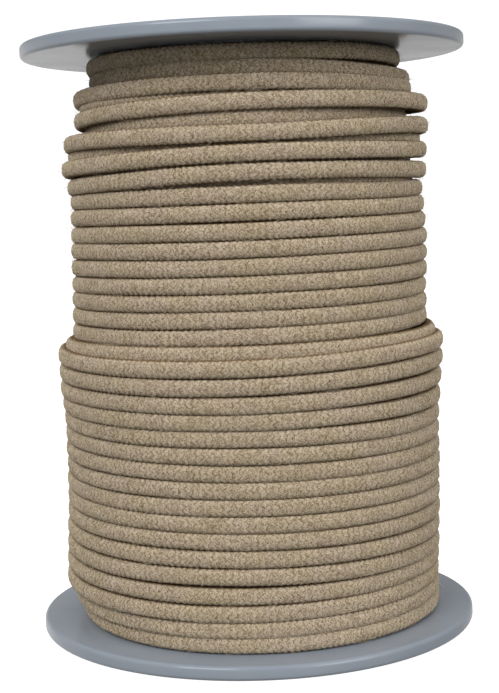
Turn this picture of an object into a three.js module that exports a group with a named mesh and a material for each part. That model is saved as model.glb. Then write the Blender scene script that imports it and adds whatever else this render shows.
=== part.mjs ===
// A spool of braided linen rope, standing on one of its two flanges.
// Millimetres, +Z up the spool's axis, origin at the centre of the underside.
// The front of the object is towards -Y.
import * as THREE from 'three';

// Spool
const FLANGE_RADIUS = 112.5;
const FLANGE_THICKNESS = 7;
const SPOOL_HEIGHT = 299;
const RIM_ROUNDING = 2;
const BORE_RADIUS = 44;
const BORE_CHAMFER = 1;
const BARREL_WALL = 4.5;
const HUB_RING_WIDTH = 9;
const RIM_BAND_WIDTH = 14;
const WEB_RECESS = 1.2;
const SPOOL_SIDES = 60;

// Clear gap between pieces that touch
const GAP = 0.3;

// Rope: one extra layer covers the lower part of the spool, up to LAYER_STEP_HEIGHT
const LAYER_STEP_HEIGHT = 147;
const LOWER_TURNS = 17;
const UPPER_TURNS = 18;
const COIL_SIDES = 30;
const COIL_START_ANGLE = Math.PI / 2;
const COIL_END_MARGIN = 0.4;
const COIL_EDGE_DROP = 2;

// How far below the crest of a turn its surface lies, groove first, going up the turn
const TURN_PROFILE = [
  { place: 'groove', depth: 2.3 },
  { place: 'lower shoulder', depth: 0.4 },
  { place: 'crest', depth: 0 },
  { place: 'upper shoulder', depth: 0.4 },
];

// Radius of the turns' crests against height: the last turns under the top flange are slacker
const LOWER_COIL = [
  { height: 7, radius: 96 },
  { height: 40, radius: 96.4 },
  { height: 110, radius: 97.6 },
  { height: 136, radius: 99.4 },
  { height: 147, radius: 99.4 },
];
const UPPER_COIL = [
  { height: 147, radius: 91.2 },
  { height: 220, radius: 90.6 },
  { height: 236, radius: 93.4 },
  { height: 256, radius: 93 },
  { height: 266, radius: 90 },
  { height: 273, radius: 86.4 },
  { height: 281, radius: 82.4 },
  { height: 292, radius: 80.2 },
];

const PLASTIC = { color: 0x8f969e, roughness: 0.32, metalness: 0 };
const LINEN = { color: 0xb7a584, roughness: 0.95, metalness: 0 };

const BARREL_RADIUS = BORE_RADIUS + BARREL_WALL;
const COIL_BOTTOM = FLANGE_THICKNESS + GAP;
const COIL_TOP = SPOOL_HEIGHT - FLANGE_THICKNESS - GAP;
const ROWS_PER_TURN = TURN_PROFILE.length;

function namedMesh(name, geometry, finish) {
  const mesh = new THREE.Mesh(geometry, new THREE.MeshStandardMaterial(finish));
  mesh.name = name;
  return mesh;
}

// A solid of revolution about +Z from a closed outline of [radius, height] points
function turned(outline, sides) {
  const points = outline.map(([radius, height]) => new THREE.Vector2(radius, height));
  points.push(points[0].clone());
  const geometry = new THREE.LatheGeometry(points, sides);
  geometry.rotateX(Math.PI / 2);
  return geometry;
}

// Points of a quarter round from one tangent point to the next
function quarterRound(centreRadius, centreHeight, rounding, startAngle, steps = 3) {
  const points = [];
  for (let step = 0; step <= steps; step += 1) {
    const angle = startAngle + (step / steps) * (Math.PI / 2);
    points.push([
      centreRadius + rounding * Math.cos(angle),
      centreHeight + rounding * Math.sin(angle),
    ]);
  }
  return points;
}

// One moulded flange, its outer face down at height 0 and its rope side up
function flangeGeometry() {
  const roundCentre = FLANGE_RADIUS - RIM_ROUNDING;
  const hubEdge = BORE_RADIUS + HUB_RING_WIDTH;
  const bandEdge = FLANGE_RADIUS - RIM_BAND_WIDTH;
  return turned([
    [BORE_RADIUS, BORE_CHAMFER],
    [BORE_RADIUS + BORE_CHAMFER, 0],
    [hubEdge, 0],
    [hubEdge + WEB_RECESS, WEB_RECESS],
    [bandEdge - WEB_RECESS, WEB_RECESS],
    [bandEdge, 0],
    ...quarterRound(roundCentre, RIM_ROUNDING, RIM_ROUNDING, -Math.PI / 2),
    ...quarterRound(roundCentre, FLANGE_THICKNESS - RIM_ROUNDING, RIM_ROUNDING, 0),
    [BORE_RADIUS, FLANGE_THICKNESS],
  ], SPOOL_SIDES);
}

// The tube between the flanges that the rope is wound on
function barrelGeometry() {
  return turned([
    [BORE_RADIUS, COIL_BOTTOM],
    [BARREL_RADIUS, COIL_BOTTOM],
    [BARREL_RADIUS, COIL_TOP],
    [BORE_RADIUS, COIL_TOP],
  ], SPOOL_SIDES);
}

// Radius at a height, straight between the rows of a coil table
function crestRadius(coil, height) {
  const last = coil.length - 1;
  for (let row = 0; row < last; row += 1) {
    const low = coil[row];
    const high = coil[row + 1];
    if (height <= high.height) {
      const share = Math.max(0, (height - low.height) / (high.height - low.height));
      return THREE.MathUtils.lerp(low.radius, high.radius, share);
    }
  }
  return coil[last].radius;
}

// Collects the corners and triangles of one closed surface
class Surface {
  constructor() {
    this.positions = [];
    this.triangles = [];
  }

  // Adds a corner at a radius, an angle and a height
  corner(radius, angle, height) {
    this.positions.push(radius * Math.cos(angle), radius * Math.sin(angle), height);
    return this.positions.length / 3 - 1;
  }

  // Adds a level ring of corners, counted anticlockwise seen from above
  ring(radius, height) {
    const corners = [];
    for (let side = 0; side < COIL_SIDES; side += 1) {
      const angle = COIL_START_ANGLE + (side / COIL_SIDES) * 2 * Math.PI;
      corners.push(this.corner(radius, angle, height));
    }
    return corners;
  }

  triangle(a, b, c, flipped) {
    this.triangles.push(...(flipped ? [a, c, b] : [a, b, c]));
  }

  // A flat or sloping band between two rings that have the same count of corners
  band(lower, upper) {
    for (let side = 0; side < COIL_SIDES; side += 1) {
      const next = (side + 1) % COIL_SIDES;
      this.triangle(lower[side], lower[next], upper[next], false);
      this.triangle(lower[side], upper[next], upper[side], false);
    }
  }

  // A fan of triangles from one corner over a chain of corners
  fan(apex, chain, flipped) {
    for (let link = 0; link < chain.length - 1; link += 1) {
      this.triangle(apex, chain[link], chain[link + 1], flipped);
    }
  }

  geometry() {
    const geometry = new THREE.BufferGeometry();
    geometry.setAttribute('position', new THREE.Float32BufferAttribute(this.positions, 3));
    geometry.setIndex(this.triangles);
    return geometry;
  }
}

// The ridged surface of one layer between two level rings. Its rows follow the rope:
// after one round a row meets the row one turn further on, and the seam where the
// first and last turns run out is at the back. The hand is 1 where the rope climbs
// anticlockwise seen from above, and -1 where it climbs clockwise.
function coiledLayer(surface, lowerRing, upperRing, span, turns, hand, coil) {
  const pitch = (span.top - span.bottom - 2 * COIL_END_MARGIN) / turns;
  const lastRow = ROWS_PER_TURN * (turns - 1);
  const flipped = hand < 0;
  const sideOf = (side) => (flipped ? (COIL_SIDES - side) % COIL_SIDES : side % COIL_SIDES);
  const columns = [];
  for (let side = 0; side < COIL_SIDES; side += 1) {
    const rows = side === 0 ? lastRow + ROWS_PER_TURN : lastRow;
    const angle = COIL_START_ANGLE + hand * (side / COIL_SIDES) * 2 * Math.PI;
    const column = [];
    for (let row = 0; row <= rows; row += 1) {
      const climbed = row / ROWS_PER_TURN + side / COIL_SIDES;
      const height = span.bottom + COIL_END_MARGIN + pitch * climbed;
      const depth = TURN_PROFILE[row % ROWS_PER_TURN].depth;
      column.push(surface.corner(crestRadius(coil, height) - depth, angle, height));
    }
    columns.push(column);
  }
  const at = (side, row) => (
    side === COIL_SIDES ? columns[0][row + ROWS_PER_TURN] : columns[side][row]
  );
  for (let side = 0; side < COIL_SIDES; side += 1) {
    for (let row = 0; row < lastRow; row += 1) {
      surface.triangle(at(side, row), at(side + 1, row), at(side + 1, row + 1), flipped);
      surface.triangle(at(side, row), at(side + 1, row + 1), at(side, row + 1), flipped);
    }
  }
  const seam = columns[0];
  for (let side = 0; side < COIL_SIDES; side += 1) {
    const low = lowerRing[sideOf(side)];
    const lowNext = lowerRing[sideOf(side + 1)];
    const high = upperRing[sideOf(side)];
    const highNext = upperRing[sideOf(side + 1)];
    const firstTurn = side === COIL_SIDES - 1 ? seam.slice(0, ROWS_PER_TURN + 1) : [at(side + 1, 0)];
    surface.fan(at(side, 0), [low, lowNext, ...firstTurn], flipped);
    const lastTurn = side === 0 ? seam.slice(lastRow).reverse() : [at(side, lastRow)];
    surface.fan(at(side + 1, lastRow), [highNext, high, ...lastTurn], flipped);
  }
}

// All the layers of rope as one solid around the barrel
function ropeGeometry() {
  const surface = new Surface();
  const innerRadius = BARREL_RADIUS + GAP;
  const edge = (coil, height) => crestRadius(coil, height) - COIL_EDGE_DROP;
  const bottomInner = surface.ring(innerRadius, COIL_BOTTOM);
  const bottomOuter = surface.ring(edge(LOWER_COIL, COIL_BOTTOM), COIL_BOTTOM);
  const stepOuter = surface.ring(edge(LOWER_COIL, LAYER_STEP_HEIGHT), LAYER_STEP_HEIGHT);
  const stepInner = surface.ring(edge(UPPER_COIL, LAYER_STEP_HEIGHT), LAYER_STEP_HEIGHT);
  const topOuter = surface.ring(edge(UPPER_COIL, COIL_TOP), COIL_TOP);
  const topInner = surface.ring(innerRadius, COIL_TOP);
  surface.band(bottomInner, bottomOuter);
  const lowerSpan = { bottom: COIL_BOTTOM, top: LAYER_STEP_HEIGHT };
  coiledLayer(surface, bottomOuter, stepOuter, lowerSpan, LOWER_TURNS, -1, LOWER_COIL);
  surface.band(stepOuter, stepInner);
  const upperSpan = { bottom: LAYER_STEP_HEIGHT, top: COIL_TOP };
  coiledLayer(surface, stepInner, topOuter, upperSpan, UPPER_TURNS, 1, UPPER_COIL);
  surface.band(topOuter, topInner);
  surface.band(topInner, bottomInner);
  return surface.geometry();
}

const spool = new THREE.Group();

const bottomFlange = namedMesh('flange_bottom', flangeGeometry(), PLASTIC);
spool.add(bottomFlange);

const topFlange = namedMesh('flange_top', flangeGeometry(), PLASTIC);
topFlange.rotation.x = Math.PI;
topFlange.position.z = SPOOL_HEIGHT;
spool.add(topFlange);

spool.add(namedMesh('barrel', barrelGeometry(), PLASTIC));
spool.add(namedMesh('rope_winding', ropeGeometry(), LINEN));

export default spool;
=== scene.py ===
"""Looks of a spool of braided linen rope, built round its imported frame.

Metres, +Z up the spool's axis, the origin at the centre of the underside and
the front of the object towards -Y. Sizes that are given in millimetres are
turned into metres with MM where they are used.
"""

import logging
import math
from collections.abc import Callable, Sequence
from dataclasses import dataclass, field
from enum import Enum

import bpy
import numpy as np
from mathutils import Matrix, Vector

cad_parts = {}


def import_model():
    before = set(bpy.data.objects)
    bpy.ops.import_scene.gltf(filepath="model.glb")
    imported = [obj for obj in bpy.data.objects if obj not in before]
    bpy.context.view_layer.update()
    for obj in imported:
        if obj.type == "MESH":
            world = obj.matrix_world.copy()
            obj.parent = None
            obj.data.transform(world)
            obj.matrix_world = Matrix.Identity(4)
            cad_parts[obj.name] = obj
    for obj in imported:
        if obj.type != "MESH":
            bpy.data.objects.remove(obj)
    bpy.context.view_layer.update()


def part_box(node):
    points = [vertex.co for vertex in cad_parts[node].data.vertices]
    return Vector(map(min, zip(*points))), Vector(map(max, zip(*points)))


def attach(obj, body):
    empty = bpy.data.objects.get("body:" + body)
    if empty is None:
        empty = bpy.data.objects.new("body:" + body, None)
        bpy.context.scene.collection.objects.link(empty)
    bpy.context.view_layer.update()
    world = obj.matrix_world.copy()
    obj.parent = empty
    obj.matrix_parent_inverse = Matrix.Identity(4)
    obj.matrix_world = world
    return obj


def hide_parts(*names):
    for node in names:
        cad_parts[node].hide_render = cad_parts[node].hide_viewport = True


MM = 0.001
BODY = "root"
ROPE_NODE = "rope_winding"
BRAID_MAP = "Braid"
FLANK_MAP = "Flank"
ROWS_PER_CHEVRON = 4

# A face that looks straight up or down has more than this of its normal upright
UPRIGHT = 0.9

# How far a point may stray from the ring or the level that is looked for
STRAY = MM / 5

# Edges that turn by more than this are shaded as edges
PLASTIC_EDGE = math.radians(40)
CORE_EDGE = math.radians(30)

log = logging.getLogger("rope_spool")

Triple = tuple[float, float, float]
Colour = tuple[float, float, float, float]
Piece = bpy.types.Object
Material = bpy.types.Material
Socket = bpy.types.NodeSocket


class Slot(Enum):
    """The material slots of the record."""

    PLASTIC = "spool_plastic"
    LINEN = "linen_braid"


def deselect_all() -> None:
    """Leaves edit mode and deselects every object."""
    if bpy.context.object is not None and bpy.context.object.mode != "OBJECT":
        bpy.ops.object.mode_set(mode="OBJECT")
    bpy.ops.object.select_all(action="DESELECT")


def clear_selection(kind: str) -> None:
    """Sets edit mode's kind of selection, with nothing selected, and leaves it again.

    Args:
        kind: What is going to be selected, FACE or EDGE.
    """
    bpy.ops.object.mode_set(mode="EDIT")
    bpy.ops.mesh.select_mode(type=kind)
    bpy.ops.mesh.select_all(action="DESELECT")
    bpy.ops.object.mode_set(mode="OBJECT")


def select_faces(piece: Piece, wanted: Callable[[bpy.types.MeshPolygon], bool]) -> None:
    """Goes to edit mode with only the wanted faces of a piece selected.

    Args:
        piece: The mesh object that is being shaped.
        wanted: Says for one face whether it is selected.
    """
    clear_selection("FACE")
    for face in piece.data.polygons:
        face.select = wanted(face)
    bpy.ops.object.mode_set(mode="EDIT")


def select_edges(piece: Piece, wanted: Callable[[Vector, Vector], bool]) -> None:
    """Goes to edit mode with only the wanted edges of a piece selected.

    Args:
        piece: The mesh object that is being shaped.
        wanted: Says for the two ends of an edge whether it is selected.
    """
    clear_selection("EDGE")
    points = piece.data.vertices
    for edge in piece.data.edges:
        first, second = (points[index].co for index in edge.vertices)
        edge.select = wanted(first, second)
    bpy.ops.object.mode_set(mode="EDIT")


def is_level(first: Vector, second: Vector) -> bool:
    """Says whether the edge between two points lies level."""
    return abs(first.z - second.z) < STRAY


def blank(name: str, sides: int, radius: float, low: float, high: float) -> Piece:
    """Makes the closed cylinder round the axis that a piece starts from.

    Args:
        name: The piece's name.
        sides: How many sides it has.
        radius: Its radius.
        low: The height of its lower end.
        high: The height of its upper end.

    Returns:
        The cylinder.
    """
    deselect_all()
    middle = (0, 0, (low + high) / 2)
    bpy.ops.mesh.primitive_cylinder_add(vertices=sides, radius=radius, depth=high - low, location=middle)
    piece = bpy.context.object
    piece.name = piece.data.name = name
    return piece


def settle(piece: Piece, nodes: Sequence[str], finish: Material) -> None:
    """Bakes a piece's place into its mesh, dresses it and ties it to the frame.

    Args:
        piece: The finished mesh object.
        nodes: The CAD nodes that it stands for.
        finish: The material that it is dressed in.
    """
    deselect_all()
    piece.select_set(True)
    bpy.context.view_layer.objects.active = piece
    bpy.ops.object.transform_apply()
    piece.data.materials.clear()
    piece.data.materials.append(finish)
    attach(piece, BODY)
    if nodes:
        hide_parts(*nodes)
    triangles = sum(len(face.vertices) - 2 for face in piece.data.polygons)
    log.info("%s: %d triangles", piece.name, triangles)


class Wiring:
    """Adds and joins the nodes of one node tree."""

    # Places of the Mix node's colours among its inputs, and of the mixed one among its outputs
    FIRST_COLOUR, SECOND_COLOUR, MIXED_COLOUR = 6, 7, 2

    NOISE_ROUGHNESS = 0.55

    def __init__(self, tree: bpy.types.NodeTree) -> None:
        """Starts with the tree emptied."""
        self.tree = tree
        self.tree.nodes.clear()

    def feed(self, socket: Socket, value: object) -> None:
        """Feeds a socket.

        Args:
            socket: The socket.
            value: The output that is joined to it, or the plain value that it is set to.
        """
        if isinstance(value, Socket):
            self.tree.links.new(value, socket)
        else:
            socket.default_value = value

    def add(
        self, kind: str, settings: dict[str, object], inputs: dict[str | int, object]
    ) -> bpy.types.Node:
        """Adds a node.

        Args:
            kind: The node's type, without its ShaderNode prefix.
            settings: Its properties and their values.
            inputs: Its sockets, by name or place, and what goes into each.

        Returns:
            The new node.
        """
        node = self.tree.nodes.new("ShaderNode" + kind)
        for name, value in settings.items():
            setattr(node, name, value)
        for name, value in inputs.items():
            self.feed(node.inputs[name], value)
        return node

    def math(self, operation: str, *values: object) -> Socket:
        """Adds a Math node over one to three numbers and gives its output."""
        return self.add("Math", {"operation": operation}, dict(enumerate(values))).outputs[0]

    def noise(self, vector: object, scale: float, detail: float = 2.0) -> Socket:
        """Adds a Noise node, scale in bumps to the metre or map unit, and gives its value."""
        inputs = {"Vector": vector, "Scale": scale, "Detail": detail}
        return self.add("TexNoise", {}, {**inputs, "Roughness": self.NOISE_ROUGHNESS}).outputs["Fac"]

    def stretch(
        self, value: object, low: float, high: float, to_low: float, to_high: float
    ) -> Socket:
        """Maps a range of a value onto another range, held at its ends, and gives the result."""
        places = {"From Min": low, "From Max": high, "To Min": to_low, "To Max": to_high}
        return self.add("MapRange", {"clamp": True}, {"Value": value, **places}).outputs["Result"]

    def mix(self, share: object, first: object, second: object) -> Socket:
        """Mixes two colours, share being how much of the second is taken."""
        inputs = {0: share, self.FIRST_COLOUR: first, self.SECOND_COLOUR: second}
        return self.add("Mix", {"data_type": "RGBA"}, inputs).outputs[self.MIXED_COLOUR]

    def blend(self, share: object, first: object, second: object) -> Socket:
        """Mixes two numbers, share being how much of the second is taken."""
        return self.math("MULTIPLY_ADD", self.math("SUBTRACT", second, first), share, first)


class ShaderWiring(Wiring):
    """Adds and joins the shader nodes of one material."""

    def __init__(self, name: str) -> None:
        """Starts an empty material with an output and a main shader.

        Args:
            name: The material's name.
        """
        self.material = bpy.data.materials.new(name)
        self.material.use_nodes = True
        super().__init__(self.material.node_tree)
        self.shader = self.add("BsdfPrincipled", {}, {})
        self.add("OutputMaterial", {}, {"Surface": self.shader.outputs["BSDF"]})

    def bump(self, height: object, distance: float, strength: float) -> None:
        """Gives the main shader a bump from a height, distance in metres."""
        inputs = {"Height": height, "Distance": distance, "Strength": strength}
        self.dress({"Normal": self.add("Bump", {}, inputs).outputs["Normal"]})

    def dress(self, inputs: dict[str, object]) -> None:
        """Feeds sockets of the main shader, by name."""
        for name, value in inputs.items():
            self.feed(self.shader.inputs[name], value)

    def place(self) -> Socket:
        """Gives the piece's own coordinates, in metres."""
        return self.add("TexCoord", {}, {}).outputs["Object"]

    def chart(self, name: str) -> bpy.types.Node:
        """Gives a node with the two parts of a named UV map as its first outputs."""
        coordinates = self.add("UVMap", {"uv_map": name}, {}).outputs["UV"]
        return self.add("SeparateXYZ", {}, {0: coordinates})


def rgb(red: float, green: float, blue: float) -> Colour:
    """Turns a colour of 0 to 255 as a screen shows it into the shader's own scale."""
    parts = (part / 255 for part in (red, green, blue))
    return (*(p / 12.92 if p <= 0.04045 else ((p + 0.055) / 1.055) ** 2.4 for p in parts), 1.0)


@dataclass(frozen=True)
class SpoolPlastic:
    """Moulded blue-grey plastic with a soft gloss and faint flow marks.

    The flow marks and the grain are given in bumps to the metre, and the density is
    the index of refraction.
    """

    body: Colour = rgb(138, 147, 157)
    pale: Colour = rgb(145, 152, 161)
    roughness: float = 0.18
    density: float = 1.4
    flow_marks: float = 22.0
    grain: float = 1500.0
    grain_depth: float = 0.03 * MM

    def material(self) -> Material:
        """Wires the plastic's shader.

        Returns:
            The material.
        """
        wiring = ShaderWiring("spool_plastic")
        place = wiring.place()
        flow = wiring.noise(place, self.flow_marks)
        colour = wiring.mix(wiring.stretch(flow, 0.35, 0.65, 0.0, 1.0), self.body, self.pale)
        gloss = wiring.stretch(flow, 0.3, 0.7, self.roughness - 0.03, self.roughness + 0.05)
        wiring.dress({"Base Color": colour, "Roughness": gloss, "IOR": self.density})
        wiring.bump(wiring.noise(place, self.grain), self.grain_depth, 0.35)
        return wiring.material


@dataclass(frozen=True)
class LinenBraid:
    """Natural linen yarn in a round braid: rows of small chevrons, flecks and fibre streaks.

    The last five values are the noises' bumps to the metre. The dips between bundles and the flanks
    towards the grooves carry painted shade.

    Attributes:
        hollow: The painted shade in the dips between the bundles of yarn.
        groove_shade: The painted shade on the rope's flanks, where they turn into the grooves between
            turns.
        relief: The depth of the bump, in mm.
        yarns_per_bundle: How many yarns lie side by side in a bundle.
    """

    name: str = "linen_braid"
    straw: Colour = rgb(195, 177, 146)
    grey: Colour = rgb(198, 179, 156)
    pale: Colour = rgb(214, 202, 180)
    brown: Colour = rgb(134, 116, 89)
    hollow: Colour = rgb(98, 75, 46)
    groove_shade: Colour = rgb(106, 77, 38)
    relief: float = 0.5
    yarns_per_bundle: float = 3.0
    drifts: float = 60.0
    patches: float = 260.0
    slips: float = 300.0
    specks: float = 1500.0
    fibres: float = 4200.0

    def material(self) -> Material:
        """Wires the linen's shader.

        Returns:
            The material.
        """
        wiring = ShaderWiring(self.name)
        place = wiring.place()
        braid = wiring.chart(BRAID_MAP)
        across = braid.outputs[0]
        slip = wiring.math("MULTIPLY_ADD", wiring.noise(place, self.slips, 3.0), 1.1, -0.55)
        phase = wiring.math("MULTIPLY_ADD", braid.outputs[1], 1 / ROWS_PER_CHEVRON, slip)
        yarn = self.yarns(wiring, across, phase)
        streaks = self.streaks(wiring, across, phase)
        colour = self.colour(wiring, place, across, phase, yarn, streaks)
        height = wiring.math("MULTIPLY_ADD", wiring.noise(place, self.fibres), 0.35, yarn)
        height = wiring.math("MULTIPLY_ADD", streaks, 0.25, height)
        wiring.bump(height, self.relief * MM, 1.0)
        matt = {"Roughness": 0.92, "Diffuse Roughness": 1.0, "Specular IOR Level": 0.2}
        sheen = {"Sheen Weight": 0.12, "Sheen Roughness": 0.45, "Sheen Tint": self.pale}
        wiring.dress({"Base Color": colour, **matt, **sheen})
        return wiring.material

    def yarns(self, wiring: Wiring, across: object, phase: object) -> Socket:
        """Shapes the flat bundles of yarn that the braid is made of.

        Args:
            wiring: The material that is being wired.
            across: The map's column number.
            phase: The count of bundles along the rope.

        Returns:
            The surface's height, 0 to 1.
        """
        bundle = self.wave(wiring, phase, 1.0, 0.5)
        yarn = self.wave(wiring, phase, self.yarns_per_bundle, 0.6)
        middle = wiring.math("SINE", wiring.math("MULTIPLY", wiring.math("FRACT", across), math.pi))
        dip = wiring.math("MULTIPLY_ADD", wiring.math("POWER", middle, 0.5), 0.4, 0.6)
        both = wiring.math("MULTIPLY_ADD", yarn, 0.5, wiring.math("MULTIPLY", bundle, 0.5))
        return wiring.math("MULTIPLY", both, dip)

    def wave(self, wiring: Wiring, phase: object, count: float, power: float) -> Socket:
        """Gives a row of rounded crests, count to each bundle, blunter with a lower power."""
        wave = wiring.math("COSINE", wiring.math("MULTIPLY", phase, 2 * math.pi * count))
        return wiring.math("POWER", wiring.math("MULTIPLY_ADD", wave, 0.5, 0.5), power)

    def streaks(self, wiring: Wiring, across: object, phase: object) -> Socket:
        """Draws the fibres that run along each yarn and gives their noise."""
        stretched = {0: wiring.math("MULTIPLY", across, 1.6), 1: wiring.math("MULTIPLY", phase, 9.0)}
        return wiring.noise(wiring.add("CombineXYZ", {}, stretched).outputs[0], 1.6, 3.0)

    def colour(
        self,
        wiring: ShaderWiring,
        place: Socket,
        across: Socket,
        phase: Socket,
        yarn: Socket,
        streaks: Socket,
    ) -> Socket:
        """Mixes the linen's colour.

        Args:
            wiring: The material that is being wired.
            place: The piece's own coordinates.
            across: The map's column number.
            phase: The count of bundles along the rope.
            yarn: The surface's height, 0 to 1.
            streaks: The noise of the fibres along the yarns.

        Returns:
            The colour's socket.
        """
        column = wiring.math("FLOOR", across)
        count = wiring.math("FLOOR", wiring.math("MULTIPLY_ADD", phase, self.yarns_per_bundle, 0.5))
        cell = wiring.add("CombineXYZ", {}, {0: column, 1: count}).outputs[0]
        chance = wiring.add("TexWhiteNoise", {"noise_dimensions": "3D"}, {"Vector": cell}).outputs["Value"]
        drift = wiring.noise(place, self.drifts)
        colour = wiring.mix(wiring.stretch(drift, 0.38, 0.62, 0.0, 1.0), self.straw, self.grey)
        patch = wiring.noise(place, self.patches)
        specks = wiring.noise(place, self.specks, 1.0)
        flank = wiring.chart(FLANK_MAP).outputs[0]
        # What each tone follows, where it starts and is full, its share there and its colour
        tones = (
            (patch, 0.5, 0.72, 0.28, self.brown),
            (patch, 0.5, 0.3, 0.25, self.pale),
            (chance, 0.5, 1.0, 0.4, self.pale),
            (chance, 0.4, 0.0, 0.5, self.brown),
            (streaks, 0.5, 0.75, 0.5, self.pale),
            (specks, 0.52, 0.73, 0.95, self.pale),
            (specks, 0.48, 0.3, 0.95, self.brown),
            # painted shade in the dips between the bundles of yarn
            (yarn, 0.5, 0.05, 0.65, self.hollow),
            # painted shade down the flanks into the grooves between turns
            (flank, 0.45, 0.63, 0.9, self.groove_shade),
        )
        for value, start, full, share, tone in tones:
            colour = wiring.mix(wiring.stretch(value, start, full, 0.0, share), colour, tone)
        return colour


@dataclass(frozen=True)
class StrayFibre:
    """Loose linen fibres, paler than the braid and plain all over but for a slow drift."""

    pale: Colour = rgb(214, 202, 178)
    brown: Colour = rgb(166, 144, 108)
    drift: float = 160.0

    def material(self) -> Material:
        """Wires the fibres' shader.

        Returns:
            The material.
        """
        wiring = ShaderWiring("linen_fibre")
        drift = wiring.noise(wiring.place(), self.drift)
        colour = wiring.mix(wiring.stretch(drift, 0.4, 0.6, 0.0, 1.0), self.pale, self.brown)
        wiring.dress({"Base Color": colour, "Roughness": 0.8})
        return wiring.material


@dataclass(frozen=True)
class PaleFloor:
    """Matt near-white floor, lifted by a glow of its own as a lit table is."""

    tone: Colour = rgb(243, 243, 242)
    worn: Colour = rgb(225, 225, 225)
    glow: float = 0.72

    def material(self) -> Material:
        """Wires the floor's shader.

        Returns:
            The material.
        """
        wiring = ShaderWiring("pale_floor")
        grain = wiring.noise(wiring.place(), 3.0)
        colour = wiring.mix(wiring.stretch(grain, 0.3, 0.7, 0.0, 0.06), self.tone, self.worn)
        light = {"Emission Color": (1.0, 1.0, 1.0, 1.0), "Emission Strength": self.glow}
        wiring.dress({"Base Color": colour, "Roughness": 0.9, **light})
        return wiring.material


@dataclass
class Flange:
    """One moulded flange: a disc with a rounded rim, a bore and a sunk web on its outer face.

    The ring round the bore and the band along the rim stand level there, and the web between
    them is sunk by the recess. Bore and rounding are radii.

    Attributes:
        outward: 1 where its outer face looks up, -1 where it looks down.
    """

    node: str
    outward: int
    sides: int = 192
    bore: float = 44 * MM
    hub_ring: float = 9 * MM
    rim_band: float = 14 * MM
    recess: float = 1.2 * MM
    rounding: float = 2 * MM
    chamfer: float = 1 * MM
    rounding_steps: int = 6
    chamfer_steps: int = 3
    low: Vector = field(init=False)
    high: Vector = field(init=False)

    def __post_init__(self) -> None:
        """Takes the disc's place from the frame."""
        self.low, self.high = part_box(self.node)

    @property
    def radius(self) -> float:
        """The disc's outer radius."""
        return self.high.x

    def build(self, finish: Material) -> None:
        """Models the flange and dresses it.

        Args:
            finish: The plastic.
        """
        disc = blank(self.node + "_moulded", self.sides, self.radius, self.low.z, self.high.z)
        self.sink_web(disc)
        self.open_bore(disc)
        self.round_edges(disc)
        bpy.ops.object.mode_set(mode="OBJECT")
        bpy.ops.object.shade_smooth_by_angle(angle=PLASTIC_EDGE)
        settle(disc, [self.node], finish)

    def sink_web(self, disc: Piece) -> None:
        """Insets the outer face into a rim band, a sunk web and a hub ring.

        Args:
            disc: The flange so far.
        """
        select_faces(disc, lambda face: face.normal.z * self.outward > UPRIGHT)
        web = self.radius - self.rim_band - self.bore - self.hub_ring - 2 * self.recess
        widths = (self.rim_band, self.recess, web, self.recess, self.hub_ring)
        depths = (0.0, -self.recess, 0.0, self.recess, 0.0)
        for width, depth in zip(widths, depths):
            bpy.ops.mesh.inset(thickness=width, depth=depth)

    def open_bore(self, disc: Piece) -> None:
        """Insets the rope side to the bore, takes out both centres and joins their edges.

        Args:
            disc: The flange so far.
        """
        select_faces(disc, lambda face: face.normal.z * self.outward < -UPRIGHT)
        bpy.ops.mesh.inset(thickness=self.radius - self.bore)
        select_faces(disc, self.is_centre)
        bpy.ops.mesh.delete(type="ONLY_FACE")
        select_edges(disc, self.on_bore)
        bpy.ops.mesh.bridge_edge_loops()

    def round_edges(self, disc: Piece) -> None:
        """Rounds the rim and breaks the bore's edges.

        Args:
            disc: The flange so far.
        """
        rim = self.radius - STRAY
        select_edges(disc, lambda a, b: min(a.xy.length, b.xy.length) > rim and is_level(a, b))
        bpy.ops.mesh.bevel(offset=self.rounding, segments=self.rounding_steps, affect="EDGES")
        select_edges(disc, self.on_bore)
        bpy.ops.mesh.bevel(offset=self.chamfer, segments=self.chamfer_steps, affect="EDGES")

    def is_centre(self, face: bpy.types.MeshPolygon) -> bool:
        """Says whether a face is one of the two that close the bore."""
        return len(face.vertices) == self.sides and face.center.xy.length < STRAY

    def on_bore(self, first: Vector, second: Vector) -> bool:
        """Says whether an edge is part of one of the bore's two rings."""
        stray = max(abs(end.xy.length - self.bore) for end in (first, second))
        return stray < STRAY and is_level(first, second)


@dataclass
class Barrel:
    """The tube between the flanges that the rope is wound on."""

    node: str = "barrel"
    wall: float = 4.5 * MM
    sides: int = 160
    cuts: int = 3

    def build(self, finish: Material) -> None:
        """Models the tube and dresses it.

        Args:
            finish: The plastic.
        """
        low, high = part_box(self.node)
        tube = blank(self.node + "_moulded", self.sides, high.x, low.z, high.z)
        select_faces(tube, lambda face: abs(face.normal.z) > UPRIGHT)
        bpy.ops.mesh.inset(thickness=self.wall)
        select_faces(tube, lambda face: len(face.vertices) == self.sides)
        bpy.ops.mesh.delete(type="ONLY_FACE")
        inner = high.x - self.wall + STRAY
        select_edges(tube, lambda a, b: max(a.xy.length, b.xy.length) < inner)
        bpy.ops.mesh.bridge_edge_loops(number_cuts=self.cuts)
        bpy.ops.object.mode_set(mode="OBJECT")
        bpy.ops.object.shade_smooth_by_angle(angle=PLASTIC_EDGE)
        settle(tube, [self.node], finish)


@dataclass(frozen=True)
class Turn:
    """One turn of rope where it crosses the front, at its left, middle and right, in mm.

    Attributes:
        height: How high the rope's middle line lies.
        reach: How far out from the axis its outer face comes.
    """

    height: Triple
    reach: Triple


@dataclass(frozen=True)
class Tail:
    """One point of a run of rope that leaves the front and sinks in behind, in mm and degrees.

    Attributes:
        angle: How far round it is from the nearest turn in the table.
    """

    angle: float
    height: float
    reach: float


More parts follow.
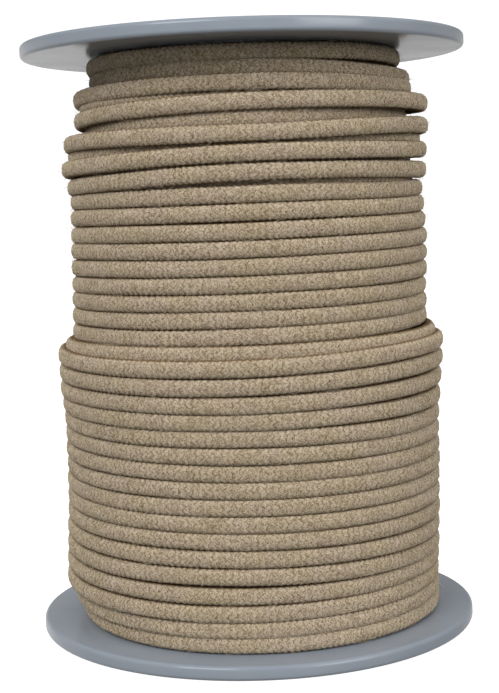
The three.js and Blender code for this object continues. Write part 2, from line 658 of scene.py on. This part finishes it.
@dataclass(frozen=True)
class RopeSection:
    """The rope's flattened round section and the braid that covers it, in mm.

    Attributes:
        squareness: 2 gives an ellipse, more a flatter face.
        columns: How many columns of slanting yarn bundles its outer side has.
        arc: How much of the section round its outer side is braided, in degrees.
        chevron: The spacing of the bundles along the rope.
        relief: How far a bundle stands above or below the mean surface.
        unevenness: How far a corner may stray from that.
    """

    half_height: float = 4.06
    half_depth: float = 4.0
    squareness: float = 2.35
    columns: int = 10
    arc: float = 220.0
    chevron: float = 3.04
    relief: float = 0.25
    unevenness: float = 0.13
    fine_points: int = 1441

    @property
    def row(self) -> float:
        """The spacing of the mesh rows along the rope."""
        return self.chevron / ROWS_PER_CHEVRON

    def lead(self) -> np.ndarray:
        """How many rows each corner lies ahead, so that rows run in chevrons."""
        return np.arange(self.columns + 1) % 2 * (ROWS_PER_CHEVRON / 2)

    def outline(self, shift: np.ndarray) -> tuple[np.ndarray, np.ndarray]:
        """Gives the section's corners for each row of mesh.

        Args:
            shift: How many columns the braid has crept round the rope, for each corner.

        Returns:
            The corners' outward and upward places, rows by corners.
        """
        fine = np.radians(np.linspace(-180, 180, self.fine_points))
        power = 2 / self.squareness
        out = self.half_depth * np.sign(np.cos(fine)) * np.abs(np.cos(fine)) ** power
        up = self.half_height * np.sign(np.sin(fine)) * np.abs(np.sin(fine)) ** power
        steps = np.hypot(np.diff(out), np.diff(up))
        travelled = np.concatenate([[0.0], np.cumsum(steps)])
        travelled -= travelled[len(fine) // 2]
        half_arc = np.interp(math.radians(self.arc / 2), fine, travelled)
        width = 2 * half_arc / self.columns
        places = (np.arange(self.columns + 1) - self.columns / 2 + shift) * width
        return np.interp(places, travelled, out), np.interp(places, travelled, up)


def smooth_through(angles: np.ndarray, values: np.ndarray, wanted: np.ndarray) -> np.ndarray:
    """Reads a smooth curve through given points.

    Args:
        angles: Where the points lie along the curve, rising.
        values: Their values.
        wanted: Where the curve is read.

    Returns:
        The curve's values there.
    """
    gaps = np.diff(angles)
    slopes = np.diff(values) / gaps
    tangents = np.empty(len(values))
    tangents[0], tangents[-1] = slopes[0], slopes[-1]
    tangents[1:-1] = (slopes[:-1] * gaps[1:] + slopes[1:] * gaps[:-1]) / (gaps[1:] + gaps[:-1])
    spans = np.clip(np.searchsorted(angles, wanted, side="right") - 1, 0, len(gaps) - 1)
    gap = gaps[spans]
    t = (wanted - angles[spans]) / gap
    start = values[spans] * (2 * t**3 - 3 * t**2 + 1) + tangents[spans] * gap * (t**3 - 2 * t**2 + t)
    end = values[spans + 1] * (3 * t**2 - 2 * t**3) + tangents[spans + 1] * gap * (t**3 - t**2)
    return start + end


class Sway:
    """A slow random change along the rope."""

    def __init__(self, total: float, spacing: float, size: float, random: np.random.Generator) -> None:
        """Draws the change.

        Args:
            total: The rope's length, in mm.
            spacing: How far apart it changes direction, in mm.
            size: How far it goes to each side.
            random: The source of chance.
        """
        self.knots = np.arange(-spacing, total + 3 * spacing, spacing)
        self.values = random.uniform(-size, size, len(self.knots))

    def at(self, lengths: np.ndarray) -> np.ndarray:
        """Gives the change at distances along the rope."""
        return smooth_through(self.knots, self.values, lengths)


def mesh_object(name: str, points: np.ndarray, faces: np.ndarray, smooth: np.ndarray) -> Piece:
    """Makes a mesh object of triangles.

    Args:
        name: The object's name.
        points: Its corners, in metres.
        faces: Three corner numbers for each triangle.
        smooth: Whether each triangle is shaded smooth.

    Returns:
        The new object, in the scene.
    """
    mesh = bpy.data.meshes.new(name)
    mesh.vertices.add(len(points))
    mesh.vertices.foreach_set("co", points.astype(np.float32).ravel())
    mesh.loops.add(faces.size)
    mesh.loops.foreach_set("vertex_index", faces.astype(np.int32).ravel())
    mesh.polygons.add(len(faces))
    mesh.polygons.foreach_set("loop_start", np.arange(0, faces.size, 3, dtype=np.int32))
    mesh.polygons.foreach_set("use_smooth", smooth)
    mesh.update(calc_edges=True)
    piece = bpy.data.objects.new(name, mesh)
    bpy.context.scene.collection.objects.link(piece)
    return piece


def add_map(mesh: bpy.types.Mesh, name: str, across: np.ndarray, along: np.ndarray) -> None:
    """Adds a UV map with two values for each corner of each face."""
    chart = mesh.uv_layers.new(name=name)
    chart.uv.foreach_set("vector", np.stack([across, along], axis=1).astype(np.float32).ravel())


@dataclass
class RopeLayer:
    """One layer of rope, a single strand wound turn by turn.

    Attributes:
        turns: Where each turn crosses the front, in the order of rising angle.
        before: How the strand comes in, furthest from the front first.
        after: How it goes out.
        pieces: How many mesh pieces it is cut into.
        seed: The source of its unevenness.
        sway: How far it strays from its course, in mm.
        floor: The lowest that its middle line may lie, in mm.
        ceiling: The highest that it may lie.
        surface: Every corner of the strand, rows by corners, in metres.
        outward: The way out of the rope at each corner.
        flank: How far round from its outer side each corner is, 1 at the braid's edge; it places the
            painted shade towards the grooves.
    """

    name: str
    turns: Sequence[Turn]
    before: Sequence[Tail]
    after: Sequence[Tail]
    pieces: int
    section: RopeSection
    seed: int
    sway: float = 0.16
    floor: float = 11.5
    ceiling: float = 287.5
    surface: np.ndarray = field(init=False)
    outward: np.ndarray = field(init=False)
    flank: np.ndarray = field(init=False)

    # Where the left, the middle and the right of a turn are, and the course's step, in degrees
    HEIGHT_ANGLES = (-145.0, -90.0, -35.0)
    REACH_ANGLES = (-173.0, -90.0, -7.0)
    ANGLE_STEP = 0.25

    # How far apart along the rope each slow change turns, in mm, and how large it is
    RISE_SPACING, SINK_SPACING = 45.0, 60.0
    CREEP_SPACING, CREEP = 130.0, 0.8
    SWELL_SPACING, SWELL = 30.0, 0.02

    def knots(self, angles: Triple, aspect: str) -> tuple[np.ndarray, np.ndarray]:
        """Gives the angles and values that the strand passes through.

        Args:
            angles: Where the left, the middle and the right of a turn are, in degrees.
            aspect: What is asked for, height or reach.

        Returns:
            The angles and the heights or reaches there.
        """
        rows = []
        for count, turn in enumerate(self.turns):
            rows += [(angle + 360 * count, value) for angle, value in zip(angles, getattr(turn, aspect))]
        first = self.HEIGHT_ANGLES[0]
        last = self.HEIGHT_ANGLES[2] + 360 * (len(self.turns) - 1)
        lead_in = [(first - tail.angle, getattr(tail, aspect)) for tail in self.before]
        lead_out = [(last + tail.angle, getattr(tail, aspect)) for tail in self.after]
        table = np.array(lead_in + rows + lead_out)
        return table[:, 0], table[:, 1]

    def course(self) -> tuple[np.ndarray, np.ndarray, np.ndarray, np.ndarray]:
        """Works the strand's middle line out in small steps.

        Returns:
            Distance along the rope, angle in radians, height and radius, in mm.
        """
        stations, heights = self.knots(self.HEIGHT_ANGLES, "height")
        angles = np.arange(stations[0], stations[-1], self.ANGLE_STEP)
        height = np.clip(smooth_through(stations, heights, angles), self.floor, self.ceiling)
        reach = smooth_through(*self.knots(self.REACH_ANGLES, "reach"), angles)
        radius = reach - self.section.half_depth
        turned = np.radians(angles)
        steps = np.sqrt(
            (radius[1:] * np.diff(turned)) ** 2 + np.diff(height) ** 2 + np.diff(radius) ** 2
        )
        return np.concatenate([[0.0], np.cumsum(steps)]), turned, height, radius

    def shape(self) -> None:
        """Works out every corner of the strand's surface."""
        section = self.section
        travelled, turned, height, radius = self.course()
        total = travelled[-1]
        rows = int(total / section.row) - ROWS_PER_CHEVRON
        row = np.arange(rows)[:, None]
        lengths = (row + section.lead()[None, :]) * section.row
        random = np.random.default_rng(self.seed)
        rise = Sway(total, self.RISE_SPACING, self.sway, random).at(lengths)
        level = np.clip(np.interp(lengths, travelled, height) + rise, self.floor, self.ceiling)
        sink = Sway(total, self.SINK_SPACING, self.sway, random).at(lengths)
        radial = np.interp(lengths, travelled, radius) + sink
        angle = np.interp(lengths, travelled, turned)
        shift = Sway(total, self.CREEP_SPACING, self.CREEP, random).at(lengths)
        out, up = section.outline(shift)
        middle = section.columns / 2
        self.flank = np.abs(np.arange(section.columns + 1) - middle + shift) / middle
        swell = 1 + Sway(total, self.SWELL_SPACING, self.SWELL, random).at(lengths)
        relief = np.cos(2 * math.pi * row / ROWS_PER_CHEVRON) * section.relief
        relief = relief + random.uniform(-section.unevenness, section.unevenness, out.shape)
        relief[:, [0, -1]] = 0.0
        size = np.hypot(out, up)
        grown = swell + relief / size
        out, up = out * grown, up * grown
        cosine, sine = np.cos(angle), np.sin(angle)
        reach = radial + out
        self.surface = np.stack([reach * cosine, reach * sine, level + up], axis=2) * MM
        self.outward = np.stack([out * cosine, out * sine, up], axis=2)
        self.outward /= np.linalg.norm(self.outward, axis=2, keepdims=True)

    def build(self, finish: Material) -> None:
        """Cuts the strand into pieces, makes a closed mesh of each and dresses it.

        Args:
            finish: The linen.
        """
        self.shape()
        rows = len(self.surface)
        step = rows / self.pieces / ROWS_PER_CHEVRON
        cuts = [ROWS_PER_CHEVRON * round(step * count) for count in range(self.pieces + 1)]
        cuts[-1] = rows - 1
        for number, (start, stop) in enumerate(zip(cuts[:-1], cuts[1:]), 1):
            piece = self.strand(f"{self.name}_{number}", start, stop)
            settle(piece, [ROPE_NODE], finish)

    def strand(self, name: str, start: int, stop: int) -> Piece:
        """Makes one closed length of rope from a span of rows.

        Args:
            name: The piece's name.
            start: Its first row.
            stop: Its last row.

        Returns:
            The new object.
        """
        surface = self.surface[start : stop + 1]
        rows, corners = surface.shape[:2]
        columns = corners - 1
        row, column = np.meshgrid(np.arange(rows - 1), np.arange(corners), indexing="ij")
        row, column = row.ravel(), column.ravel()
        a, b = (row, column), (row + 1, column)
        c, d = (row + 1, column + 1), (row, column + 1)
        halves = ((a, b, c), (a, c, d))
        places = np.concatenate(
            [np.stack([np.stack(corner, axis=1) for corner in half], axis=1) for half in halves]
        )
        faces = places[:, :, 0] * corners + places[:, :, 1] % corners
        hubs = np.stack([surface[0].mean(axis=0), surface[-1].mean(axis=0)])
        points = np.concatenate([surface.reshape(-1, 3), hubs])
        ring = np.arange(corners)
        beyond = (ring + 1) % corners
        near = np.stack([np.full(corners, rows * corners), ring, beyond], axis=1)
        base = (rows - 1) * corners
        far = np.stack([np.full(corners, rows * corners + 1), base + beyond, base + ring], axis=1)
        all_faces = np.concatenate([faces, near, far])
        smooth = np.arange(len(all_faces)) < len(faces)
        piece = mesh_object(name, points, all_faces, smooth)
        across = np.concatenate([places[:, :, 1].ravel(), np.full(6 * corners, columns)])
        along = np.concatenate([places[:, :, 0].ravel() + start, np.full(6 * corners, start)])
        add_map(piece.data, BRAID_MAP, across, along)
        flank = np.append(self.flank[start : stop + 1].ravel(), [1.0, 1.0])[all_faces.ravel()]
        add_map(piece.data, FLANK_MAP, flank, 0 * flank)
        return piece


@dataclass
class RopeCore:
    """The layers of rope further in, closed behind the grooves as one plain turned body.

    Attributes:
        profile: Heights up the spool and its radius there, in mm, from the bottom up.
        inner: The radius of the room for the barrel, in mm.
    """

    profile: Sequence[tuple[float, float]]
    inner: float = 48.9
    sides: int = 96

    def build(self, finish: Material) -> None:
        """Models the core and dresses it.

        Args:
            finish: The shaded linen.
        """
        bottom, girth = self.profile[0]
        top = self.profile[-1][0]
        core = blank("rope_core", self.sides, girth * MM, bottom * MM, top * MM)
        bpy.ops.object.transform_apply(location=True)
        bpy.ops.object.mode_set(mode="EDIT")
        for height, _ in self.profile[1:-1]:
            bpy.ops.mesh.select_all(action="SELECT")
            bpy.ops.mesh.bisect(plane_co=(0, 0, height * MM), plane_no=(0, 0, 1))
        for height, radius in self.profile[1:]:
            self.resize_ring(core, height * MM, radius / girth)
        self.hollow(core)
        bpy.ops.object.mode_set(mode="OBJECT")
        bpy.ops.object.shade_smooth_by_angle(angle=CORE_EDGE)
        self.chart(core)
        settle(core, [ROPE_NODE], finish)

    def resize_ring(self, core: Piece, height: float, factor: float) -> None:
        """Scales the ring of edges at one height about the axis."""
        select_edges(core, lambda a, b: max(abs(a.z - height), abs(b.z - height)) < STRAY)
        bpy.ops.transform.resize(value=(factor, factor, 1), center_override=(0, 0, height))

    def hollow(self, core: Piece) -> None:
        """Opens the core for the barrel.

        Args:
            core: The core so far.
        """
        for end in (0, -1):
            side = 1 if end else -1
            select_faces(core, lambda face: face.normal.z * side > UPRIGHT)
            bpy.ops.mesh.inset(thickness=(self.profile[end][1] - self.inner) * MM)
        select_faces(core, lambda face: len(face.vertices) == self.sides)
        bpy.ops.mesh.delete(type="ONLY_FACE")
        room = self.inner * MM + STRAY
        select_edges(core, lambda a, b: max(a.xy.length, b.xy.length) < room)
        bpy.ops.mesh.bridge_edge_loops()

    def chart(self, core: Piece) -> None:
        """Maps the braid onto the core, rows running round the axis.

        Args:
            core: The core so far.
        """
        mesh = core.data
        spots = [mesh.vertices[loop.vertex_index].co for loop in mesh.loops]
        place = np.array(spots, dtype=np.float32) / MM
        turned = np.abs(np.arctan2(place[:, 0], -place[:, 1])) * self.profile[0][1] / RopeSection().row
        for layer in list(mesh.uv_layers):
            mesh.uv_layers.remove(layer)
        add_map(mesh, BRAID_MAP, place[:, 2], turned)
        # The flank set to 1 all over paints the whole core in the painted shade of the grooves
        add_map(mesh, FLANK_MAP, np.ones(len(spots)), np.ones(len(spots)))


@dataclass
class StrayFibres:
    """Loose fibres that stand off the braid. A range is the least and the most.

    Attributes:
        bare: How many rows and columns along the braid's edges have none.
        steps: How many lengths each fibre bends in.
        thickness: Its thickness at the root, in mm as its length is.
        taper: How much of that is gone at the tip.
        lifts: How steeply it leaves the rope.
        drifts: How far it bends sideways.
        curls: How far it bends outward.
        stand: How much of all its rise is taken.
    """

    count: int
    seed: int
    bare: int = 2
    steps: int = 4
    sides: int = 3
    thickness: float = 0.2
    taper: float = 0.75
    lengths: tuple[float, float] = (2.5, 9.0)
    lifts: tuple[float, float] = (0.1, 0.75)
    drifts: tuple[float, float] = (-0.8, 0.8)
    curls: tuple[float, float] = (-0.5, 0.6)
    stand: float = 0.6

    def build(self, layer: RopeLayer, finish: Material) -> None:
        """Strews fibres over one layer, joins them in one mesh and dresses it.

        Args:
            layer: The rope that they stand off, already shaped.
            finish: The fibre's material.
        """
        random = np.random.default_rng(self.seed)
        rows, corners = layer.surface.shape[:2]
        row, column = (random.integers(self.bare, end - self.bare, self.count) for end in (rows, corners))
        root = layer.surface[row, column]
        outward = layer.outward[row, column]
        along = layer.surface[row + 1, column] - layer.surface[row - 1, column]
        along /= np.linalg.norm(along, axis=1, keepdims=True)
        along *= random.choice([-1.0, 1.0], self.count)[:, None]
        side = np.cross(outward, along)
        spans = (self.lengths, self.lifts, self.drifts, self.curls)
        length, lift, drift, curl = (random.uniform(*span, self.count)[:, None] for span in spans)
        rings = []
        for step in range(self.steps + 1):
            t = step / self.steps
            rise = lift * t + (curl - lift * 0.4) * t * t
            bend = along * t + outward * rise * self.stand + side * drift * t * t
            middle = root + length * MM * bend
            width = self.thickness * MM / 2 * (1.0 - self.taper * t)
            for corner in range(self.sides):
                turn = 2 * math.pi * corner / self.sides
                rings.append(middle + (outward * math.cos(turn) + side * math.sin(turn)) * width)
        points = np.stack(rings, axis=1)
        faces = self.faces() + (np.arange(self.count) * points.shape[1])[:, None, None]
        faces = faces.reshape(-1, 3)
        smooth = np.ones(len(faces), dtype=bool)
        piece = mesh_object(layer.name + "_fibres", points.reshape(-1, 3), faces, smooth)
        settle(piece, [], finish)

    def faces(self) -> np.ndarray:
        """Joins the corners of one fibre into a closed tube with few sides.

        Returns:
            Three corner numbers for each triangle.
        """
        rows = []
        for step in range(self.steps):
            for corner in range(self.sides):
                beyond = (corner + 1) % self.sides
                a, b = step * self.sides + corner, step * self.sides + beyond
                c, d = b + self.sides, a + self.sides
                rows += [(a, c, b), (a, d, c)]
        tip = self.steps * self.sides
        rows += [(0, 1, 2), (tip, tip + 2, tip + 1)]
        return np.array(rows)[None, :, :]


@dataclass(frozen=True)
class SoftLight:
    """A square soft light that faces the middle of the spool, in metres and watts."""

    name: str
    place: Triple
    size: float
    power: float

    TARGET = Vector((0, 0, 0.15))

    def hang(self) -> None:
        """Adds the light to the scene."""
        data = bpy.data.lights.new(self.name, "AREA")
        data.shape = "SQUARE"
        data.size = self.size
        data.energy = self.power
        light = bpy.data.objects.new(self.name, data)
        bpy.context.scene.collection.objects.link(light)
        light.location = self.place
        towards = self.TARGET - Vector(self.place)
        light.rotation_mode = "QUATERNION"
        light.rotation_quaternion = towards.to_track_quat("-Z", "Y")


@dataclass
class Studio:
    """Floor, soft light and the camera at the photograph's angle.

    The camera is turned to the left, up and over to the right, in degrees, and its lens and
    sensor are in mm.

    Attributes:
        floor_drop: How far the floor lies below the spool.
        glow: The room's light from below and from overhead.
        left_glow: How much of it moves from the right to the left.
        back_glow: How many times brighter it is from behind.
        mirrored: How bright gloss sees it at the horizon and below, and overhead.
        backdrop: How bright the camera sees it.
    """

    camera_place: Triple = (0.0, -0.764, 0.2208)
    camera_turns: Sequence[tuple[float, str]] = ((0.048, "Z"), (-5.858, "X"), (1.795, "Y"))
    lens: float = 76.36
    sensor: float = 36.0
    floor_size: float = 12.0
    floor_drop: float = 0.2 * MM
    glow: tuple[float, float] = (0.13, 0.42)
    left_glow: float = 0.4
    back_glow: float = 2.7
    mirrored: tuple[float, float] = (0.76, 0.25)
    backdrop: float = 1.1
    lights: Sequence[SoftLight] = (
        SoftLight("key", (-0.9, -1.5, 1.4), 1.1, 26.0),
        SoftLight("fill", (1.3, -1.3, 0.9), 1.1, 19.5),
        SoftLight("bounce", (0.0, -0.75, 0.02), 0.9, 0.4),
    )

    def build(self, finish: Material) -> None:
        """Sets the floor, the lights, the surroundings and the camera.

        Args:
            finish: The floor's material.
        """
        self.lay_floor(finish)
        self.surround()
        for light in self.lights:
            light.hang()
        self.aim_camera()
        bpy.context.scene.view_settings.view_transform = "Standard"

    def lay_floor(self, finish: Material) -> None:
        """Lays a wide floor just under the spool.

        Args:
            finish: The floor's material.
        """
        deselect_all()
        bpy.ops.mesh.primitive_plane_add(size=self.floor_size, location=(0, 0, -self.floor_drop))
        floor = bpy.context.object
        floor.name = floor.data.name = "floor"
        bpy.ops.object.mode_set(mode="EDIT")
        bpy.ops.mesh.subdivide(number_cuts=3)
        bpy.ops.object.mode_set(mode="OBJECT")
        bpy.ops.object.transform_apply(location=True)
        floor.data.materials.append(finish)
        floor.visible_diffuse = False
        floor.visible_glossy = False

    def surround(self) -> None:
        """Gives the room a soft glow, brighter overhead, to the left and behind, and a white backdrop."""
        world = bpy.data.worlds.new("studio")
        bpy.context.scene.world = world
        world.use_nodes = True
        wiring = Wiring(world.node_tree)
        way = wiring.add("TexCoord", {}, {}).outputs["Generated"]
        # The parts of the way that a ray takes, -1 to 1
        along_x, along_y, along_z = wiring.add("SeparateXYZ", {}, {0: way}).outputs
        height = wiring.stretch(along_z, -0.3, 0.6, *self.glow)
        depth = wiring.stretch(along_y, -0.2, 0.8, 1.0, self.back_glow)
        mirrored = wiring.stretch(along_z, 0.02, 0.25, *self.mirrored)
        side = wiring.math("MULTIPLY_ADD", along_x, -self.left_glow, 1.0)
        rays = wiring.add("LightPath", {}, {})
        glow = wiring.math("MULTIPLY", height, depth)
        glow = wiring.math("MULTIPLY", wiring.blend(rays.outputs["Is Glossy Ray"], glow, mirrored), side)
        strength = wiring.blend(rays.outputs["Is Camera Ray"], glow, self.backdrop)
        background = wiring.add("Background", {}, {"Color": (1.0, 1.0, 1.0, 1.0), "Strength": strength})
        wiring.add("OutputWorld", {}, {"Surface": background.outputs[0]})

    def aim_camera(self) -> None:
        """Makes the camera and turns it as the photograph's was."""
        data = bpy.data.cameras.new("camera")
        data.sensor_width = self.sensor
        data.lens = self.lens
        data.clip_start, data.clip_end = 0.01, 50.0
        camera = bpy.data.objects.new("camera", data)
        bpy.context.scene.collection.objects.link(camera)
        turned = Matrix.Identity(3)
        for angle, axis in self.camera_turns:
            turned = turned @ Matrix.Rotation(math.radians(angle), 3, axis)
        right, forward, up = turned.col
        basis = Matrix((right, up, -forward)).transposed()
        camera.matrix_world = Matrix.Translation(self.camera_place) @ basis.to_4x4()
        bpy.context.scene.camera = camera


def even(radius: float) -> Triple:
    """Gives the same reach at the left, the middle and the right."""
    return (radius, radius, radius)


LOWER_TURNS = (
    Turn((142.0, 141.9, 144.7), (99.3, 99.4, 99.6)),
    Turn((133.4, 133.5, 135.9), (99.3, 99.3, 99.0)),
    Turn((125.0, 124.9, 126.5), (98.9, 98.8, 98.4)),
    Turn((117.4, 117.0, 117.1), (98.0, 98.0, 97.6)),
    Turn((109.7, 109.1, 108.1), (97.5, 97.4, 97.0)),
    Turn((101.8, 100.9, 100.0), (97.3, 97.2, 96.8)),
    Turn((93.7, 92.8, 92.0), (97.3, 97.0, 96.8)),
    Turn((85.5, 84.8, 83.9), (97.3, 97.0, 96.8)),
    Turn((77.4, 76.6, 75.9), (97.4, 97.0, 96.6)),
    Turn((69.4, 68.7, 67.8), (97.6, 97.0, 96.5)),
    Turn((61.4, 60.7, 59.5), (97.9, 97.0, 96.3)),
    Turn((53.0, 52.4, 50.7), (98.3, 97.0, 96.1)),
    Turn((44.3, 44.0, 41.9), (98.8, 97.0, 95.8)),
    Turn((35.5, 34.8, 34.3), (99.3, 96.8, 95.5)),
    Turn((26.8, 26.3, 26.5), (99.6, 96.8, 95.3)),
    Turn((18.6, 18.4, 19.0), (95.4, 96.6, 95.2)),
    Turn((11.1, 11.1, 11.1), (91.6, 96.4, 95.2)),
)

UPPER_TURNS = (
    Turn((131.0, 131.6, 132.6), even(91.2)),
    Turn((139.2, 139.7, 140.8), even(91.2)),
    Turn((147.4, 147.9, 148.8), (95.6, 93.6, 95.6)),
    Turn((154.9, 155.8, 157.1), even(91.4)),
    Turn((163.0, 163.9, 164.9), even(91.4)),
    Turn((171.2, 171.9, 172.8), even(91.3)),
    Turn((179.2, 180.0, 181.0), (90.9, 91.2, 91.9)),
    Turn((187.5, 188.2, 189.2), (90.7, 91.2, 92.1)),
    Turn((195.8, 196.4, 197.4), (90.6, 91.2, 92.2)),
    Turn((203.8, 204.6, 205.7), (90.5, 91.0, 91.8)),
    Turn((212.3, 213.1, 213.9), (90.2, 90.8, 91.0)),
    Turn((220.6, 221.5, 221.9), (90.0, 90.6, 90.3)),
    Turn((228.5, 231.5, 231.4), (91.3, 92.4, 92.5)),
    Turn((237.6, 240.2, 240.8), (93.6, 93.6, 92.8)),
    Turn((249.2, 249.2, 252.3), (92.2, 93.6, 93.9)),
    Turn((254.6, 256.2, 257.0), (81.0, 89.4, 83.0)),
    Turn((261.2, 263.6, 264.2), (86.4, 92.6, 93.7)),
    Turn((271.8, 272.6, 272.3), (86.6, 86.6, 85.5)),
    Turn((279.8, 279.8, 277.4), (78.3, 81.6, 84.7)),
    Turn((287.2, 286.8, 287.7), (79.3, 79.8, 80.2)),
)

INNER_TURNS = (
    Turn((267.0, 268.2, 268.4), (83.6, 83.0, 82.0)),
    Turn((259.4, 260.0, 259.0), (81.6, 83.0, 83.0)),
    Turn((251.2, 251.6, 250.0), even(84.0)),
    Turn((243.0, 244.8, 246.9), (90.4, 86.6, 89.6)),
    Turn((234.8, 235.6, 236.0), even(84.6)),
    Turn((226.6, 226.8, 227.4), even(85.0)),
)

CORE_PROFILE = (
    (7.3, 89.0),
    (146.0, 89.0),
    (149.0, 83.5),
    (218.0, 81.5),
    (255.0, 79.0),
    (270.0, 78.0),
    (276.0, 74.5),
    (291.7, 73.0),
)


def wind_rope() -> list[RopeLayer]:
    """Lists the layers of rope that show.

    Returns:
        The layers, outermost first.
    """
    lower = RopeLayer(
        name="rope_lower_layer",
        turns=LOWER_TURNS,
        before=(Tail(150, 147.5, 87.0), Tail(105, 146.0, 92.5), Tail(60, 143.6, 98.6)),
        after=(Tail(70, 11.1, 95.4), Tail(150, 11.1, 92.0), Tail(215, 11.1, 87.5)),
        pieces=2,
        section=RopeSection(squareness=3.1),
        seed=11,
    )
    upper = RopeLayer(
        name="rope_upper_layer",
        turns=UPPER_TURNS,
        before=(Tail(60, 129.8, 91.0),),
        after=(Tail(60, 287.9, 79.0), Tail(130, 287.9, 74.0), Tail(180, 287.9, 70.0)),
        pieces=2,
        section=RopeSection(squareness=2.8),
        seed=23,
    )
    inner = RopeLayer(
        name="rope_inner_layer",
        turns=INNER_TURNS,
        before=(Tail(40, 267.6, 82.0),),
        after=(Tail(40, 226.0, 82.0),),
        pieces=1,
        section=RopeSection(),
        seed=37,
    )
    return [lower, upper, inner]


def main() -> None:
    """Builds the spool, the rope and the studio round the frame."""
    logging.basicConfig(level=logging.INFO, format="%(message)s")
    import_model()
    plastic = SpoolPlastic().material()
    linen = LinenBraid().material()
    shaded = LinenBraid(name="linen_braid_shaded").material()
    fibre = StrayFibre().material()
    Flange("flange_bottom", outward=-1).build(plastic)
    Flange("flange_top", outward=1).build(plastic)
    Barrel().build(plastic)
    RopeCore(CORE_PROFILE).build(shaded)
    layers = wind_rope()
    for layer in layers:
        layer.build(linen)
    for number, layer in enumerate(layers[:2]):
        StrayFibres(count=3800, seed=51 + number).build(layer, fibre)
    Studio().build(PaleFloor().material())


if __name__ == "__main__":
    main()
